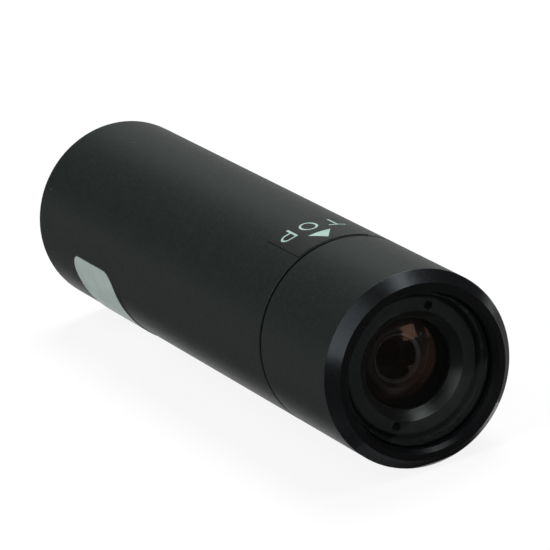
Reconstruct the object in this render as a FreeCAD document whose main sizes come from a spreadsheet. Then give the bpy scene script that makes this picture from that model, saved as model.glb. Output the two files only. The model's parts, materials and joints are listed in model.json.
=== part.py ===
"""Tube security camera: a turned aluminium tube with a screw-on window cap, a focusing lens and its boards.

Frame: the optical axis runs along Y, the window looks towards -Y and +Z is up, under the top mark.
The origin is on the axis at the middle of the tube, where a bracket's clamp ring grips it.
Stations are distances behind the front face, and every piece is moved back by the same setback.
"""

import FreeCAD, Part
import math
import os
import Sketcher

doc = FreeCAD.newDocument("tube_camera")
sheet = doc.addObject("Spreadsheet::Sheet", "Sizes")

SIZES = {
    # housing tube
    "tube_diameter": 20.0,
    "tube_length": 58.15,
    "tube_wall": 1.0,
    "thread_wall": 1.4,
    "thread_depth": 5.25,
    "rear_edge_break": 0.35,
    "seam_gap": 0.45,
    "seam_edge_break": 0.06,
    # front cap
    "cap_length": 16.1,
    "face_chamfer_radial": 1.1,
    "face_chamfer_axial": 1.32,
    "mouth_edge_break": 0.4,
    "spigot_length": 5.2,
    "spigot_edge_break": 0.3,
    "spigot_wall": 1.3,
    "lens_bay_depth": 9.6,
    "lens_bay_gap": 0.4,
    "thread_gap": 0.1,
    # window and its gasket
    "window_diameter": 15.6,
    "window_thickness": 1.0,
    "window_recess": 1.1,
    "window_gap": 0.05,
    "window_seat": 0.45,
    "window_lip": 0.1,
    "window_edge_break": 0.15,
    "gasket_thickness": 0.25,
    # seal rings
    "seal_section": 0.9,
    "seal_groove_extra": 0.2,
    "seal_groove_setback": 0.5,
    "seal_gap": 0.03,
    "seal_bore_gap": 0.15,
    # lens barrel
    "head_diameter": 14.0,
    "head_station": 2.5,
    "head_length": 6.3,
    "dish_mouth_diameter": 11.1,
    "dish_depth": 1.0,
    "dish_floor_lip": 0.05,
    "lens_thread_diameter": 12.0,
    "lens_shank_length": 9.0,
    "pin_hole_diameter": 0.9,
    "pin_hole_depth": 1.4,
    "pin_circle_diameter": 12.34,
    "pin_hole_angle": 27.1,
    "head_edge_break": 0.15,
    "friction_section": 1.0,
    "friction_groove_depth": 0.65,
    "friction_gap": 0.3,
    # lens elements
    "front_element_diameter": 9.2,
    "front_element_apex": 2.8,
    "front_element_front_radius": 10.0,
    "front_element_rear_radius": 5.4,
    "front_element_seat": 6.0,
    "front_element_clear_diameter": 6.2,
    "glass_gap": 0.05,
    "lens_web_thickness": 0.7,
    "lens_web_opening": 4.3,
    "lens_web_bevel": 0.55,
    "stack_bore_diameter": 8.0,
    "middle_element_rim": 1.4,
    "middle_element_radius": 10.0,
    "stop_length": 1.3,
    "stop_web": 0.2,
    "stop_opening": 2.8,
    "stack_ring_wall": 0.7,
    "spacer_length": 1.4,
    "rear_element_rim": 1.6,
    "rear_element_radius": 9.0,
    "retainer_length": 1.6,
    # lens holder
    "holder_wall_gap": 0.3,
    "holder_flange_thickness": 2.2,
    "holder_web_station": 0.5,
    "holder_web_thickness": 1.0,
    "holder_web_opening": 8.8,
    "holder_throat_diameter": 12.4,
    "holder_pocket_diameter": 14.2,
    "holder_pocket_depth": 2.1,
    "filter_diameter": 10.4,
    "filter_thickness": 0.6,
    "inner_fit_gap": 0.1,
    # sensor
    "sensor_side": 9.2,
    "sensor_thickness": 1.8,
    "sensor_glass_side": 7.4,
    "sensor_glass_thickness": 0.5,
    "sensor_board_thickness": 1.0,
    "sensor_board_gap": 0.2,
    "holder_screw_diameter": 1.1,
    "holder_screw_depth": 1.8,
    "holder_screw_head_diameter": 2.0,
    "holder_screw_head_height": 0.7,
    "holder_screw_inset": 1.15,
    "screw_hole_gap": 0.05,
    # board carrier and boards
    "carrier_wall": 0.7,
    "carrier_ring_length": 3.0,
    "carrier_window_width": 11.4,
    "carrier_notch_width": 3.4,
    "rail_height": 2.6,
    "rail_overlap": 0.7,
    "slot_gap": 0.05,
    "board_thickness": 1.0,
    "board_height": 3.5,
    "board_front_gap": 0.8,
    "board_rear_gap": 2.0,
    # parts on the boards
    "processor_side": 9.0,
    "processor_height": 1.4,
    "processor_station": 35.0,
    "timing_side": 6.0,
    "timing_height": 1.1,
    "timing_station": 48.0,
    "chip_edge_break": 0.2,
    "crystal_length": 10.0,
    "crystal_width": 3.8,
    "crystal_height": 2.4,
    "crystal_station": 54.0,
    "regulator_length": 6.5,
    "regulator_width": 6.0,
    "regulator_height": 2.3,
    "regulator_station": 33.0,
    "inductor_diameter": 6.0,
    "inductor_height": 2.6,
    "inductor_station": 42.0,
    "capacitor_diameter": 4.0,
    "capacitor_height": 4.6,
    "capacitor_pitch": 5.2,
    "capacitor_station": 50.5,
    "header_pitch": 1.27,
    "header_pins": 8.0,
    "header_body_height": 2.0,
    "header_body_length": 2.0,
    "header_pin_side": 0.4,
    "link_station": 57.0,
    "link_pins": 6.0,
    "socket_length": 5.0,
    "socket_width": 11.0,
    "socket_height": 3.2,
    "socket_wall": 0.6,
    # rear cap and cable gland
    "rear_cap_length": 6.6,
    "rear_cap_recess": 1.0,
    "rear_cap_wall": 1.65,
    "rear_cap_floor": 2.0,
    "rear_seal_setback": 2.2,
    "spanner_hole_diameter": 1.5,
    "spanner_hole_depth": 1.2,
    "spanner_circle_diameter": 12.6,
    "gland_neck_diameter": 7.0,
    "gland_flange_diameter": 8.8,
    "gland_flange_thickness": 0.8,
    "cable_hole_diameter": 4.5,
    # labels
    "label_film": 0.08,
    "label_glue": 0.01,
    "top_label_length": 7.6,
    "top_label_angle": 45.2,
    "side_label_length": 10.5,
    "side_label_angle": 80.0,
    "side_label_centre_angle": -128.7,
    "side_label_rear_margin": 9.2,
    "side_label_corner": 1.7,
}

for row, (alias, value) in enumerate(SIZES.items(), start=1):
    sheet.set(f"A{row}", alias)
    sheet.set(f"B{row}", str(value))
    sheet.setAlias(f"B{row}", alias)
doc.recompute()


def size(expression):
    """The expression with every alias read from the sheet, ready for setExpression."""
    words = sorted(SIZES, key=len, reverse=True)
    out = ""
    at = 0
    while at < len(expression):
        word = next((w for w in words if expression.startswith(w, at)), None)
        if word:
            out += "Sizes." + word
            at += len(word)
        else:
            out += expression[at]
            at += 1
    return out


def value(expression):
    """The number that an expression over the sheet comes to."""
    found = sheet.evalExpression(size(expression))
    return float(getattr(found, "Value", found))


# Stations and radii that several pieces share, as expressions over the sheet
TUBE_R = "(tube_diameter / 2)"
BORE_R = "(tube_diameter / 2 - tube_wall)"
THREAD_R = "(tube_diameter / 2 - thread_wall)"
SPIGOT_R = f"({THREAD_R} - thread_gap)"
SPIGOT_BORE_R = f"({SPIGOT_R} - spigot_wall)"
SEAM = "cap_length"
TUBE_FRONT = "(cap_length + seam_gap)"
TUBE_REAR = "(cap_length + seam_gap + tube_length)"
SHOULDER = f"({TUBE_FRONT} + thread_depth)"
SETBACK = f"({TUBE_FRONT} + tube_length / 2)"
LEDGE = "(window_recess + window_thickness + gasket_thickness)"
HEAD_R = "(head_diameter / 2)"
HEAD_REAR = "(head_station + head_length)"
SHANK_R = "(lens_thread_diameter / 2 - thread_gap)"
SHANK_REAR = f"({HEAD_REAR} + lens_shank_length)"
STACK_R = "(stack_bore_diameter / 2)"
STACK_FIT_R = f"({STACK_R} - glass_gap)"
STACK_FRONT = "(front_element_seat + lens_web_thickness)"
HOLDER_FRONT = f"({HEAD_REAR} + friction_section + friction_gap)"
HOLDER_REAR = f"({SHOULDER} + holder_flange_thickness)"
HOLDER_WEB = f"({SHANK_REAR} + holder_web_station)"
FILTER_FRONT = f"({HOLDER_WEB} + holder_web_thickness)"
BOARD_FACE = HOLDER_REAR
BOARD_BACK = f"({HOLDER_REAR} + sensor_board_thickness)"
SCREW_R = f"({BORE_R} - holder_screw_inset)"
CARRIER_R = f"({BORE_R} - inner_fit_gap)"
CARRIER_BORE_R = f"({CARRIER_R} - carrier_wall)"
CARRIER_FRONT = BOARD_BACK
REAR_CAP_BACK = f"({TUBE_REAR} - rear_cap_recess)"
REAR_CAP_FRONT = f"({REAR_CAP_BACK} - rear_cap_length)"
CARRIER_REAR = REAR_CAP_FRONT
BOARD_FRONT = f"({BOARD_BACK} + board_front_gap)"
BOARD_END = f"({CARRIER_REAR} - board_rear_gap)"
BOARD_HALF = f"(sqrt({CARRIER_BORE_R} ^ 2 - (board_height + board_thickness / 2) ^ 2) - slot_gap)"
BOARD_TOP = "(board_height + board_thickness / 2)"
BOARD_UNDER = "(board_height - board_thickness / 2)"

pieces = []


def plane(body, role):
    """One of a body's own origin planes."""
    return next(f for f in body.Origin.OriginFeatures if f.Role == role)


def keep(piece, label, station="0"):
    """Name a finished sub-part, move it from stations to the frame and list it for export."""
    piece.Label = label
    piece.setExpression("Placement.Base.y", size(f"{station} - {SETBACK}"))
    pieces.append(piece)
    return piece


def new_sketch(body, name, role="XY_Plane"):
    """A sketch on one of the body's origin planes."""
    sketch = body.newObject("Sketcher::SketchObject", name)
    sketch.AttachmentSupport = (plane(body, role), [""])
    sketch.MapMode = "FlatFace"
    return sketch


def fix(sketch, geometry, end, axis, expression):
    """Tie one coordinate of a sketch point to an expression over the sheet."""
    kind = "DistanceX" if axis == 0 else "DistanceY"
    index = sketch.addConstraint(Sketcher.Constraint(kind, -1, 1, geometry, end, value(expression)))
    sketch.setExpression(f"Constraints[{index}]", size(expression))


def outline(sketch, points):
    """A closed outline of straight lines through points given as pairs of expressions."""
    spots = [FreeCAD.Vector(value(x), value(y), 0) for x, y in points]
    count = len(spots)
    for i in range(count):
        sketch.addGeometry(Part.LineSegment(spots[i], spots[(i + 1) % count]), False)
    for i in range(count):
        sketch.addConstraint(Sketcher.Constraint("Coincident", i, 2, (i + 1) % count, 1))
    for i, (x, y) in enumerate(points):
        fix(sketch, i, 1, 0, x)
        fix(sketch, i, 1, 1, y)


def turned(label, points):
    """A piece turned about the optical axis from an outline of (radius, station) pairs."""
    body = doc.addObject("PartDesign::Body", label)
    profile = new_sketch(body, label + "_profile")
    outline(profile, points)
    turn = body.newObject("PartDesign::Revolution", label + "_turn")
    turn.Profile = profile
    turn.ReferenceAxis = (profile, ["V_Axis"])
    turn.Angle = 360
    profile.Visibility = False
    return body


def arc(sketch, apex, rim, radius, bulge):
    """A lens surface from the axis to its rim; bulge -1 swells to the front and 1 to the rear."""
    r = value(radius)
    edge = value(rim)
    centre = value(apex) - bulge * r
    lift = math.asin(edge / r)
    middle = FreeCAD.Vector(0, centre, 0)
    circle = Part.Circle(middle, FreeCAD.Vector(0, 0, 1), r)
    start, end = (-math.pi / 2, lift - math.pi / 2) if bulge < 0 else (math.pi / 2 - lift, math.pi / 2)
    index = sketch.addGeometry(Part.ArcOfCircle(circle, start, end), False)
    on_axis, at_rim = (1, 2) if bulge < 0 else (2, 1)
    sketch.addConstraint(Sketcher.Constraint("PointOnObject", index, 3, -2))
    held = sketch.addConstraint(Sketcher.Constraint("Radius", index, r))
    sketch.setExpression(f"Constraints[{held}]", size(radius))
    fix(sketch, index, on_axis, 0, "0")
    fix(sketch, index, on_axis, 1, apex)
    fix(sketch, index, at_rim, 0, rim)
    return index, on_axis, at_rim


def sag(radius, rim):
    """How far a surface of that radius falls between its apex and its rim, as an expression."""
    return f"({radius} - sqrt({radius} ^ 2 - {rim} ^ 2))"


def lens(label, rim, front, rear):
    """A round element. front and rear are (apex station, radius, bulge), or (station, None, 0) where flat.

    A surface given with a fourth value has a flat land outside that clear radius.
    """
    body = doc.addObject("PartDesign::Body", label)
    sketch = new_sketch(body, label + "_profile")
    ends = []
    for surface in (front, rear):
        apex, radius, bulge = surface[:3]
        clear = surface[3] if len(surface) > 3 else rim
        if radius is None:
            station = value(apex)
            start = FreeCAD.Vector(0, station, 0)
            end = FreeCAD.Vector(value(clear), station, 0)
            line = sketch.addGeometry(Part.LineSegment(start, end), False)
            fix(sketch, line, 1, 0, "0")
            fix(sketch, line, 1, 1, apex)
            fix(sketch, line, 2, 0, clear)
            fix(sketch, line, 2, 1, apex)
            ends.append((line, 1, 2, clear, apex))
        else:
            index, on_axis, at_rim = arc(sketch, apex, clear, radius, bulge)
            ends.append((index, on_axis, at_rim, clear, f"({apex} - {bulge} * {sag(radius, clear)})"))
    first, second = ends
    corners = [(first[0], first[2], first[3], first[4])]
    for surface in ends:
        if surface[3] != rim:
            corners.append((None, None, rim, surface[4]))
    corners.append((second[0], second[2], second[3], second[4]))
    for here, there in zip(corners, corners[1:]):
        begin = FreeCAD.Vector(value(here[2]), value(here[3]), 0)
        finish = FreeCAD.Vector(value(there[2]), value(there[3]), 0)
        line = sketch.addGeometry(Part.LineSegment(begin, finish), False)
        if here[0] is None:
            sketch.addConstraint(Sketcher.Constraint("Coincident", line - 1, 2, line, 1))
            fix(sketch, line, 1, 0, here[2])
            fix(sketch, line, 1, 1, here[3])
        else:
            sketch.addConstraint(Sketcher.Constraint("Coincident", here[0], here[1], line, 1))
        if there[0] is not None:
            sketch.addConstraint(Sketcher.Constraint("Coincident", line, 2, there[0], there[1]))
    start = FreeCAD.Vector(0, value(second[4]), 0)
    end = FreeCAD.Vector(0, value(first[4]), 0)
    axis = sketch.addGeometry(Part.LineSegment(start, end), False)
    sketch.addConstraint(Sketcher.Constraint("Coincident", second[0], second[1], axis, 1))
    sketch.addConstraint(Sketcher.Constraint("Coincident", axis, 2, first[0], first[1]))
    turn = body.newObject("PartDesign::Revolution", label + "_turn")
    turn.Profile = sketch
    turn.ReferenceAxis = (sketch, ["V_Axis"])
    turn.Angle = 360
    return keep(body, label)


def drilled(body, name, station, circle, diameter, depth, angle="0", count=2):
    """A ring of blind holes drilled towards the rear from a station, equally spaced about the axis.

    A negative depth drills towards the front.
    """
    sketch = new_sketch(body, name + "_sketch", "XZ_Plane")
    sketch.setExpression("AttachmentOffset.Base.z", size(f"-({station})"))
    centre = FreeCAD.Vector(0, value(circle) / 2, 0)
    facing = FreeCAD.Vector(0, 0, 1)
    spot = sketch.addGeometry(Part.Circle(centre, facing, value(diameter) / 2), False)
    width = sketch.addConstraint(Sketcher.Constraint("Diameter", spot, value(diameter)))
    sketch.setExpression(f"Constraints[{width}]", size(diameter))
    fix(sketch, spot, 3, 0, f"{circle} / 2 * sin({angle} * 1deg)")
    fix(sketch, spot, 3, 1, f"{circle} / 2 * cos({angle} * 1deg)")
    hole = body.newObject("PartDesign::Pocket", name + "_pocket")
    hole.Profile = sketch
    hole.Reversed = depth.startswith("-")
    hole.setExpression("Length", size(depth.lstrip("-")))
    ring = body.newObject("PartDesign::PolarPattern", name)
    ring.Originals = [hole]
    ring.Axis = (sketch, ["N_Axis"])
    ring.Angle = 360
    ring.Occurrences = count
    body.Tip = ring
    doc.recompute()
    return ring


def block(name, length, width, height, x, station, z):
    """A box centred on x, reaching back from a station and up from z."""
    box = doc.addObject("Part::Box", name)
    box.setExpression("Length", size(width))
    box.setExpression("Width", size(length))
    box.setExpression("Height", size(height))
    box.setExpression("Placement.Base.x", size(f"{x} - {width} / 2"))
    box.setExpression("Placement.Base.y", size(station))
    box.setExpression("Placement.Base.z", size(z))
    return box


def slab(name, length, width, height, station, z):
    """A flat body centred on the axis plane, reaching back from a station and up from z."""
    body = doc.addObject("PartDesign::Body", name)
    plan = new_sketch(body, name + "_plan")
    plan.setExpression("AttachmentOffset.Base.z", size(z))
    outline(plan, [
        (f"-{width} / 2", station),
        (f"{width} / 2", station),
        (f"{width} / 2", f"{station} + {length}"),
        (f"-{width} / 2", f"{station} + {length}"),
    ])
    rise = body.newObject("PartDesign::Pad", name + "_pad")
    rise.Profile = plan
    rise.setExpression("Length", size(height))
    doc.recompute()
    return body


def soften(body, kind, length, expression):
    """Break or round the upright edges of a slab."""
    base = body.Tip
    upright = [
        f"Edge{i}"
        for i, e in enumerate(base.Shape.Edges, start=1)
        if abs(e.tangentAt(e.FirstParameter).z) > 0.9
    ]
    broken = body.newObject(kind, body.Name + "_edges")
    broken.Base = (base, upright)
    broken.setExpression(length, size(expression))
    return broken


def rod(name, radius, height, x, station, z, along):
    """A cylinder that starts at a point and runs along Y or Z."""
    cylinder = doc.addObject("Part::Cylinder", name)
    cylinder.setExpression("Radius", size(radius))
    cylinder.setExpression("Height", size(height))
    if along == "Y":
        cylinder.Placement.Rotation = FreeCAD.Rotation(FreeCAD.Vector(1, 0, 0), -90)
    cylinder.setExpression("Placement.Base.x", size(x))
    cylinder.setExpression("Placement.Base.y", size(station))
    cylinder.setExpression("Placement.Base.z", size(z))
    return cylinder


def join(name, shapes):
    """Several shapes fused into one solid."""
    fused = doc.addObject("Part::MultiFuse", name)
    fused.Shapes = shapes
    return fused


def cut(name, base, tool):
    """One shape cut from another."""
    result = doc.addObject("Part::Cut", name)
    result.Base = base
    result.Tool = tool
    return result


# Housing tube: thread at the front, a shoulder behind it and a plain bore to the rear
tube = turned("housing_tube", [
    (THREAD_R, f"{TUBE_FRONT} + seam_edge_break"),
    (f"{THREAD_R} + seam_edge_break", TUBE_FRONT),
    (f"{TUBE_R} - seam_edge_break", TUBE_FRONT),
    (TUBE_R, f"{TUBE_FRONT} + seam_edge_break"),
    (TUBE_R, f"{TUBE_REAR} - rear_edge_break"),
    (f"{TUBE_R} - rear_edge_break", TUBE_REAR),
    (BORE_R, TUBE_REAR),
    (BORE_R, SHOULDER),
    (THREAD_R, SHOULDER),
])
keep(tube, "housing_tube")

# Front cap: broad face chamfer, window seat, lens bay and a threaded spigot with a seal groove
GROOVE_FRONT = f"({SEAM} + seal_groove_setback)"
GROOVE_REAR = f"({GROOVE_FRONT} + seal_section + seal_groove_extra)"
GROOVE_R = f"({THREAD_R} - seal_bore_gap - seal_section - seal_gap)"
SPIGOT_END = f"({SEAM} + spigot_length)"
WINDOW_BORE_R = "(window_diameter / 2 + window_gap)"
BAY_R = f"({HEAD_R} + lens_bay_gap)"
WINDOW_SEAT_R = "(window_diameter / 2 - window_seat)"
cap = turned("front_cap", [
    (f"{WINDOW_BORE_R} + mouth_edge_break", "0"),
    (f"{TUBE_R} - face_chamfer_radial", "0"),
    (TUBE_R, "face_chamfer_axial"),
    (TUBE_R, f"{SEAM} - seam_edge_break"),
    (f"{TUBE_R} - seam_edge_break", SEAM),
    (SPIGOT_R, SEAM),
    (SPIGOT_R, GROOVE_FRONT),
    (GROOVE_R, GROOVE_FRONT),
    (GROOVE_R, GROOVE_REAR),
    (SPIGOT_R, GROOVE_REAR),
    (SPIGOT_R, f"{SPIGOT_END} - spigot_edge_break"),
    (f"{SPIGOT_R} - spigot_edge_break", SPIGOT_END),
    (SPIGOT_BORE_R, SPIGOT_END),
    (SPIGOT_BORE_R, "lens_bay_depth"),
    (BAY_R, "lens_bay_depth"),
    (BAY_R, f"{LEDGE} + window_lip"),
    (WINDOW_SEAT_R, f"{LEDGE} + window_lip"),
    (WINDOW_SEAT_R, LEDGE),
    (WINDOW_BORE_R, LEDGE),
    (WINDOW_BORE_R, "mouth_edge_break"),
])
keep(cap, "front_cap")

# Window: a flat disc with bevelled edges, bedded on a thin gasket
WINDOW_R = "(window_diameter / 2)"
WINDOW_REAR = "(window_recess + window_thickness)"
window = turned("window_glass", [
    ("0", "window_recess"),
    (f"{WINDOW_R} - window_edge_break", "window_recess"),
    (WINDOW_R, "window_recess + window_edge_break"),
    (WINDOW_R, f"{WINDOW_REAR} - window_edge_break"),
    (f"{WINDOW_R} - window_edge_break", WINDOW_REAR),
    ("0", WINDOW_REAR),
])
keep(window, "window_glass")
gasket = turned("window_gasket", [
    (WINDOW_SEAT_R, WINDOW_REAR),
    (WINDOW_R, WINDOW_REAR),
    (WINDOW_R, LEDGE),
    (WINDOW_SEAT_R, LEDGE),
])
keep(gasket, "window_gasket")


def seal(label, centre_radius, station, section):
    """A rubber ring of round section about the optical axis."""
    ring = doc.addObject("Part::Torus", label)
    ring.setExpression("Radius1", size(centre_radius))
    ring.setExpression("Radius2", size(f"{section} / 2"))
    ring.Placement.Rotation = FreeCAD.Rotation(FreeCAD.Vector(1, 0, 0), -90)
    return keep(ring, label, f"({station})")


seal(
    "cap_seal_ring",
    f"{GROOVE_R} + seal_gap + seal_section / 2",
    f"({GROOVE_FRONT} + {GROOVE_REAR}) / 2",
    "seal_section",
)

# Lens barrel: a wide head with a dished face, a threaded shank and a stepped bore for the glass
SEAT_R = "(front_element_diameter / 2 + glass_gap)"
DISH_FLOOR = "(head_station + dish_depth)"
FRICTION_R = f"({SHANK_R} - friction_groove_depth)"
FRICTION_END = f"({HEAD_REAR} + friction_section + glass_gap)"
barrel = turned("lens_barrel", [
    ("dish_mouth_diameter / 2", "head_station"),
    (f"{HEAD_R} - head_edge_break", "head_station"),
    (HEAD_R, "head_station + head_edge_break"),
    (HEAD_R, HEAD_REAR),
    (FRICTION_R, HEAD_REAR),
    (FRICTION_R, FRICTION_END),
    (SHANK_R, FRICTION_END),
    (SHANK_R, SHANK_REAR),
    (STACK_R, SHANK_REAR),
    (STACK_R, STACK_FRONT),
    ("lens_web_opening / 2", STACK_FRONT),
    ("lens_web_opening / 2", "front_element_seat + lens_web_bevel"),
    ("lens_web_opening / 2 + lens_web_bevel", "front_element_seat"),
    (SEAT_R, "front_element_seat"),
    (SEAT_R, DISH_FLOOR),
    (f"{SEAT_R} + dish_floor_lip", DISH_FLOOR),
])
drilled(
    barrel,
    "pin_holes",
    "head_station",
    "pin_circle_diameter",
    "pin_hole_diameter",
    "pin_hole_depth",
    "pin_hole_angle",
)
keep(barrel, "lens_barrel")
seal(
    "focus_friction_ring",
    f"{FRICTION_R} + glass_gap + friction_section / 2",
    f"{HEAD_REAR} + glass_gap / 2 + friction_section / 2",
    "friction_section",
)

# Lens elements, with their stop, spacer and retaining ring stacked behind the barrel's web
ELEMENT_R = "(front_element_diameter / 2)"
ELEMENT_CLEAR_R = "(front_element_clear_diameter / 2)"
lens(
    "front_lens_element",
    ELEMENT_R,
    ("front_element_apex", "front_element_front_radius", -1),
    (
        f"(front_element_seat - {sag('front_element_rear_radius', ELEMENT_CLEAR_R)})",
        "front_element_rear_radius",
        -1,
        ELEMENT_CLEAR_R,
    ),
)
MIDDLE_RIM_REAR = f"({STACK_FRONT} + middle_element_rim)"
STACK_RING_R = f"({STACK_FIT_R} - stack_ring_wall)"
STACK_CLEAR_R = f"({STACK_RING_R} - glass_gap)"
lens(
    "middle_lens_element",
    STACK_FIT_R,
    (STACK_FRONT, None, 0),
    (
        f"({MIDDLE_RIM_REAR} + {sag('middle_element_radius', STACK_CLEAR_R)})",
        "middle_element_radius",
        1,
        STACK_CLEAR_R,
    ),
)
STOP_REAR = f"({MIDDLE_RIM_REAR} + stop_length)"
stop = turned("aperture_stop", [
    (STACK_RING_R, MIDDLE_RIM_REAR),
    (STACK_FIT_R, MIDDLE_RIM_REAR),
    (STACK_FIT_R, STOP_REAR),
    ("stop_opening / 2", STOP_REAR),
    ("stop_opening / 2", f"{STOP_REAR} - stop_web"),
    (STACK_RING_R, f"{STOP_REAR} - stop_web"),
])
keep(stop, "aperture_stop")


def stack_ring(label, front, length):
    """A plain ring in the lens stack."""
    ring = turned(label, [
        (STACK_RING_R, front),
        (STACK_FIT_R, front),
        (STACK_FIT_R, f"{front} + {length}"),
        (STACK_RING_R, f"{front} + {length}"),
    ])
    return keep(ring, label)


SPACER_REAR = f"({STOP_REAR} + spacer_length)"
stack_ring("lens_spacer_ring", STOP_REAR, "spacer_length")
REAR_RIM_REAR = f"({SPACER_REAR} + rear_element_rim)"
REAR_SAG = sag("rear_element_radius", STACK_CLEAR_R)
lens(
    "rear_lens_element",
    STACK_FIT_R,
    (f"({SPACER_REAR} - {REAR_SAG})", "rear_element_radius", -1, STACK_CLEAR_R),
    (f"({REAR_RIM_REAR} + {REAR_SAG})", "rear_element_radius", 1, STACK_CLEAR_R),
)
stack_ring("lens_retaining_ring", REAR_RIM_REAR, "retainer_length")

# Lens holder: threaded sleeve, filter seat, sensor pocket and a flange that seats on the tube's shoulder
HOLDER_R = f"({SPIGOT_BORE_R} - holder_wall_gap)"
FLANGE_R = f"({BORE_R} - inner_fit_gap)"
FILTER_SEAT_R = "(filter_diameter / 2 + glass_gap)"
POCKET_FRONT = f"({HOLDER_REAR} - holder_pocket_depth)"
holder = turned("lens_holder", [
    ("lens_thread_diameter / 2", HOLDER_FRONT),
    (HOLDER_R, HOLDER_FRONT),
    (HOLDER_R, SHOULDER),
    (FLANGE_R, SHOULDER),
    (FLANGE_R, HOLDER_REAR),
    ("holder_pocket_diameter / 2", HOLDER_REAR),
    ("holder_pocket_diameter / 2", POCKET_FRONT),
    ("holder_throat_diameter / 2", POCKET_FRONT),
    ("holder_throat_diameter / 2", f"{FILTER_FRONT} + filter_thickness"),
    (FILTER_SEAT_R, f"{FILTER_FRONT} + filter_thickness"),
    (FILTER_SEAT_R, FILTER_FRONT),
    ("holder_web_opening / 2", FILTER_FRONT),
    ("holder_web_opening / 2", HOLDER_WEB),
    ("lens_thread_diameter / 2", HOLDER_WEB),
])
drilled(
    holder,
    "screw_holes",
    HOLDER_REAR,
    f"2 * {SCREW_R}",
    "holder_screw_diameter + 2 * screw_hole_gap",
    "-holder_screw_depth",
)
keep(holder, "lens_holder")
infrared = turned("infrared_filter", [
    ("0", FILTER_FRONT),
    ("filter_diameter / 2", FILTER_FRONT),
    ("filter_diameter / 2", f"{FILTER_FRONT} + filter_thickness"),
    ("0", f"{FILTER_FRONT} + filter_thickness"),
])
keep(infrared, "infrared_filter")

# Image sensor on its round board, with the two screws that hold the board to the lens holder
SENSOR_FRONT = f"({BOARD_FACE} - sensor_thickness)"
keep(
    block(
        "sensor_case",
        "sensor_thickness",
        "sensor_side",
        "sensor_side",
        "0",
        SENSOR_FRONT,
        "-sensor_side / 2",
    ),
    "image_sensor",
    SENSOR_FRONT,
)
LID_FRONT = f"({SENSOR_FRONT} - sensor_glass_thickness)"
keep(
    block(
        "sensor_lid",
        "sensor_glass_thickness",
        "sensor_glass_side",
        "sensor_glass_side",
        "0",
        LID_FRONT,
        "-sensor_glass_side / 2",
    ),
    "sensor_cover_glass",
    LID_FRONT,
)
SENSOR_BOARD_R = f"({BORE_R} - sensor_board_gap)"
sensor_board = turned("sensor_board", [
    ("0", BOARD_FACE),
    (SENSOR_BOARD_R, BOARD_FACE),
    (SENSOR_BOARD_R, BOARD_BACK),
    ("0", BOARD_BACK),
])
drilled(
    sensor_board,
    "board_holes",
    BOARD_BACK,
    f"2 * {SCREW_R}",
    "holder_screw_diameter + 2 * screw_hole_gap",
    "-sensor_board_thickness",
)
keep(sensor_board, "sensor_board")


def holder_screw(side):
    """One pan-head screw, its head on the back of the sensor board; side is 1 above and -1 below."""
    name = "upper" if side > 0 else "lower"
    shank = rod(
        name + "_screw_shank",
        "holder_screw_diameter / 2",
        f"{BOARD_BACK} - ({HOLDER_REAR} - holder_screw_depth + screw_hole_gap)",
        "0",
        f"{HOLDER_REAR} - holder_screw_depth + screw_hole_gap",
        f"{side} * {SCREW_R}",
        "Y",
    )
    head = rod(
        name + "_screw_head",
        "holder_screw_head_diameter / 2",
        "holder_screw_head_height",
        "0",
        BOARD_BACK,
        f"{side} * {SCREW_R}",
        "Y",
    )
    return join(name + "_screw", [shank, head])


screws = doc.addObject("Part::Compound", "screw_pair")
screws.Links = [holder_screw(1), holder_screw(-1)]
keep(screws, "holder_screws")

# Board carrier: a moulded sleeve with open windows above and below and two pairs of slotted side rails
CARRIER_LENGTH = f"({CARRIER_REAR} - {CARRIER_FRONT})"
sleeve = rod("carrier_outer", CARRIER_R, CARRIER_LENGTH, "0", CARRIER_FRONT, "0", "Y")
hollow = rod("carrier_hollow", CARRIER_BORE_R, CARRIER_LENGTH, "0", CARRIER_FRONT, "0", "Y")
shell = cut("carrier_shell", sleeve, hollow)
WINDOW_LENGTH = f"({CARRIER_LENGTH} - 2 * carrier_ring_length)"
window_cut = block(
    "carrier_windows",
    WINDOW_LENGTH,
    "carrier_window_width",
    f"2 * {CARRIER_R}",
    "0",
    f"{CARRIER_FRONT} + carrier_ring_length",
    f"-{CARRIER_R}",
)
notch_cut = block(
    "carrier_notches",
    "carrier_ring_length",
    "carrier_notch_width",
    f"2 * {CARRIER_R}",
    "0",
    CARRIER_FRONT,
    f"-{CARRIER_R}",
)
open_shell = cut("carrier_open_shell", shell, join("carrier_openings", [window_cut, notch_cut]))


def rail(side, level):
    """One side rail, cut to the sleeve's round and slotted for a board's edge."""
    name = ("right" if side > 0 else "left") + ("_upper" if level > 0 else "_lower")
    bar = block(
        name + "_bar",
        CARRIER_LENGTH,
        f"({CARRIER_R} - {BOARD_HALF} + rail_overlap)",
        "rail_height",
        f"{side} * ({CARRIER_R} + {BOARD_HALF} - rail_overlap) / 2",
        CARRIER_FRONT,
        f"{level} * board_height - rail_height / 2",
    )
    reach = f"{CARRIER_R} - carrier_wall / 2"
    round_rod = rod(name + "_round", reach, CARRIER_LENGTH, "0", CARRIER_FRONT, "0", "Y")
    trimmed = doc.addObject("Part::Common", name + "_trimmed")
    trimmed.Base = bar
    trimmed.Tool = round_rod
    return trimmed


moulding = join("carrier_moulding", [open_shell] + [rail(s, v) for s in (1, -1) for v in (1, -1)])
slots = [
    block(
        name,
        f"{CARRIER_REAR} - {CARRIER_FRONT} - board_rear_gap + slot_gap",
        f"2 * ({BOARD_HALF} + slot_gap)",
        "board_thickness + 2 * slot_gap",
        "0",
        CARRIER_FRONT,
        f"{level} * board_height - board_thickness / 2 - slot_gap",
    )
    for name, level in (("upper_slot", 1), ("lower_slot", -1))
]
keep(cut("carrier", moulding, join("carrier_slots", slots)), "board_carrier")

# The two long boards and the parts on them
BOARD_LENGTH = f"({BOARD_END} - {BOARD_FRONT})"


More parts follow.
